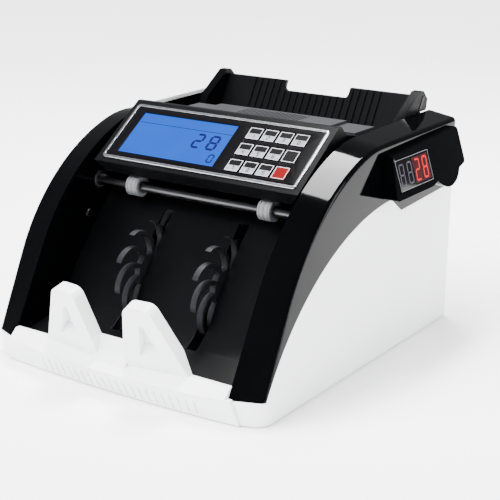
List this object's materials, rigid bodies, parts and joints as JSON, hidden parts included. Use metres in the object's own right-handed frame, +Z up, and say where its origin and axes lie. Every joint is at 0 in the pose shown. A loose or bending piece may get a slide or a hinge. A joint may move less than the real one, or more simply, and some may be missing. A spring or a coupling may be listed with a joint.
{
  "type": "banknote counting machine",
  "caption": "Desktop banknote counter with white side covers, black arched trim, a sloping display and keypad head, a rear hopper, a front stacker pocket with fingers and a side display pod.",
  "frame": {"origin": "on the table, under the middle foot, which is the centre of the four corner feet", "axes": "+Y to the rear of the machine, +Z up, +X to the right seen from the front"},
  "size_m": [0.2602, 0.2971, 0.188],
  "materials": {
    "gloss_black": "polished moulded plastic",
    "white_shell": "satin moulded plastic",
    "housing_black": "satin moulded plastic",
    "bezel_silver": "brushed edge",
    "overlay_black": "printed film",
    "lcd_glass": "back-lit blue display",
    "circuit_green": "soldered board",
    "deck_grey": "satin moulded plastic",
    "guide_black": "fine grain",
    "pod_glass": "dark red window",
    "steel": "ground",
    "rubber": "matte",
    "roller_rubber": "matte, grooved",
    "roller_grey": "plain grey tread",
    "bearing_grey": "plain",
    "motor_metal": "zinc plated",
    "frame_metal": "zinc plated sheet",
    "wheel_plastic": "flexible moulding",
    "rocker_black": "polished",
    "key_black": "printed film key",
    "key_red": "printed film key"
  },
  "bodies": {
    "case": {"arch_trim_left": "gloss_black", "arch_trim_right": "gloss_black", "side_cover_left": "white_shell", "side_cover_right": "white_shell", "front_panel": "white_shell", "control_housing": "housing_black", "control_bezel": "bezel_silver", "keypad_overlay": "overlay_black", "lcd_module": "lcd_glass", "switch_board": "circuit_green", "hopper_deck": "deck_grey", "hopper_back_plate": "housing_black", "hopper_tray": "deck_grey", "rear_cover": "housing_black", "display_pod": "gloss_black", "pod_window": "pod_glass", "stacker_chute": "housing_black", "exit_comb": "guide_black", "tie_rods": "steel", "retard_block": "rubber", "sensor_bar": "guide_black", "shaft_bearings": "bearing_grey", "main_motor": "motor_metal", "stacker_motor": "motor_metal", "drive_belts": "rubber", "main_board": "circuit_green", "power_supply": "motor_metal", "power_inlet": "guide_black", "display_jack": "guide_black", "case_screws": "steel", "base_pan": "frame_metal", "frame_plate_left": "frame_metal", "frame_plate_right": "frame_metal", "rubber_feet": "rubber"},
    "feed": {"feed_shaft": "steel", "feed_rollers": "roller_rubber"},
    "pickup": {"pickup_shaft": "steel", "pickup_rollers": "roller_rubber"},
    "exit": {"exit_shaft": "steel", "exit_rollers": "roller_grey"},
    "stacker": {"stacker_shaft": "steel", "stacker_wheels": "wheel_plastic"},
    "main_rotor": {"main_motor_pulley": "steel"},
    "stacker_rotor": {"stacker_motor_pulley": "steel"},
    "guide_left": {"hopper_guide_left": "guide_black"},
    "guide_right": {"hopper_guide_right": "guide_black"},
    "rocker": {"power_rocker": "rocker_black"},
    "knob": {"gap_knob": "guide_black"},
    "key_0": {"key_0": "key_black"},
    "key_1": {"key_1": "key_black"},
    "key_2": {"key_2": "key_black"},
    "key_3": {"key_3": "key_black"},
    "key_4": {"key_4": "key_black"},
    "key_5": {"key_5": "key_black"},
    "key_6": {"key_6": "key_black"},
    "key_7": {"key_7": "key_black"},
    "key_8": {"key_8": "key_black"},
    "key_9": {"key_9": "key_black"},
    "key_batch": {"key_batch": "key_black"},
    "key_start": {"key_start": "key_red"}
  },
  "joints": [
    {"name": "feed_spin", "type": "hinge", "parent": "case", "child": "feed", "pos_m": [0, 0.027, 0.102], "axis": [1, 0, 0], "continuous": true},
    {"name": "pickup_spin", "type": "hinge", "parent": "case", "child": "pickup", "pos_m": [0, 0.073, 0.1095], "axis": [1, 0, 0], "continuous": true},
    {"name": "exit_spin", "type": "hinge", "parent": "case", "child": "exit", "pos_m": [0, -0.036, 0.1206], "axis": [1, 0, 0], "continuous": true},
    {"name": "main_motor_spin", "type": "hinge", "parent": "case", "child": "main_rotor", "pos_m": [0, 0.064, 0.048], "axis": [1, 0, 0], "continuous": true},
    {"name": "stacker_spin", "type": "hinge", "parent": "case", "child": "stacker", "pos_m": [0, -0.056, 0.062], "axis": [1, 0, 0], "continuous": true},
    {"name": "stacker_motor_spin", "type": "hinge", "parent": "case", "child": "stacker_rotor", "pos_m": [0, -0.001, 0.04], "axis": [1, 0, 0], "continuous": true},
    {"name": "guide_left_slide", "type": "slide", "parent": "case", "child": "guide_left", "axis": [1, 0, 0], "range_m": [0, 0.02]},
    {"name": "guide_right_slide", "type": "slide", "parent": "case", "child": "guide_right", "axis": [-1, 0, 0], "range_m": [0, 0.02]},
    {"name": "power_rock", "type": "hinge", "parent": "case", "child": "rocker", "pos_m": [-0.026, 0.136, 0.03], "axis": [1, 0, 0], "range_deg": [0, 20]},
    {"name": "gap_turn", "type": "hinge", "parent": "case", "child": "knob", "pos_m": [0, 0.141, 0.14], "axis": [0, 1, 0], "range_deg": [-270, 270]},
    {"name": "key_0_press", "type": "slide", "parent": "case", "child": "key_0", "axis": [0, 0.58, -0.8146], "range_m": [0, 0.0006], "stiffness_N_per_m": 1500},
    {"name": "key_1_press", "type": "slide", "parent": "case", "child": "key_1", "axis": [0, 0.58, -0.8146], "range_m": [0, 0.0006], "stiffness_N_per_m": 1500},
    {"name": "key_2_press", "type": "slide", "parent": "case", "child": "key_2", "axis": [0, 0.58, -0.8146], "range_m": [0, 0.0006], "stiffness_N_per_m": 1500},
    {"name": "key_3_press", "type": "slide", "parent": "case", "child": "key_3", "axis": [0, 0.58, -0.8146], "range_m": [0, 0.0006], "stiffness_N_per_m": 1500},
    {"name": "key_4_press", "type": "slide", "parent": "case", "child": "key_4", "axis": [0, 0.58, -0.8146], "range_m": [0, 0.0006], "stiffness_N_per_m": 1500},
    {"name": "key_5_press", "type": "slide", "parent": "case", "child": "key_5", "axis": [0, 0.58, -0.8146], "range_m": [0, 0.0006], "stiffness_N_per_m": 1500},
    {"name": "key_6_press", "type": "slide", "parent": "case", "child": "key_6", "axis": [0, 0.58, -0.8146], "range_m": [0, 0.0006], "stiffness_N_per_m": 1500},
    {"name": "key_7_press", "type": "slide", "parent": "case", "child": "key_7", "axis": [0, 0.58, -0.8146], "range_m": [0, 0.0006], "stiffness_N_per_m": 1500},
    {"name": "key_8_press", "type": "slide", "parent": "case", "child": "key_8", "axis": [0, 0.58, -0.8146], "range_m": [0, 0.0006], "stiffness_N_per_m": 1500},
    {"name": "key_9_press", "type": "slide", "parent": "case", "child": "key_9", "axis": [0, 0.58, -0.8146], "range_m": [0, 0.0006], "stiffness_N_per_m": 1500},
    {"name": "key_batch_press", "type": "slide", "parent": "case", "child": "key_batch", "axis": [0, 0.58, -0.8146], "range_m": [0, 0.0006], "stiffness_N_per_m": 1500},
    {"name": "key_start_press", "type": "slide", "parent": "case", "child": "key_start", "axis": [0, 0.58, -0.8146], "range_m": [0, 0.0006], "stiffness_N_per_m": 1500}
  ],
  "couplings": [
    {"joint": "pickup_spin", "follows": "feed_spin", "ratio": 1.6667},
    {"joint": "exit_spin", "follows": "feed_spin", "ratio": 2.5},
    {"joint": "main_motor_spin", "follows": "feed_spin", "ratio": 2.5},
    {"joint": "stacker_motor_spin", "follows": "stacker_spin", "ratio": 2.25}
  ]
}
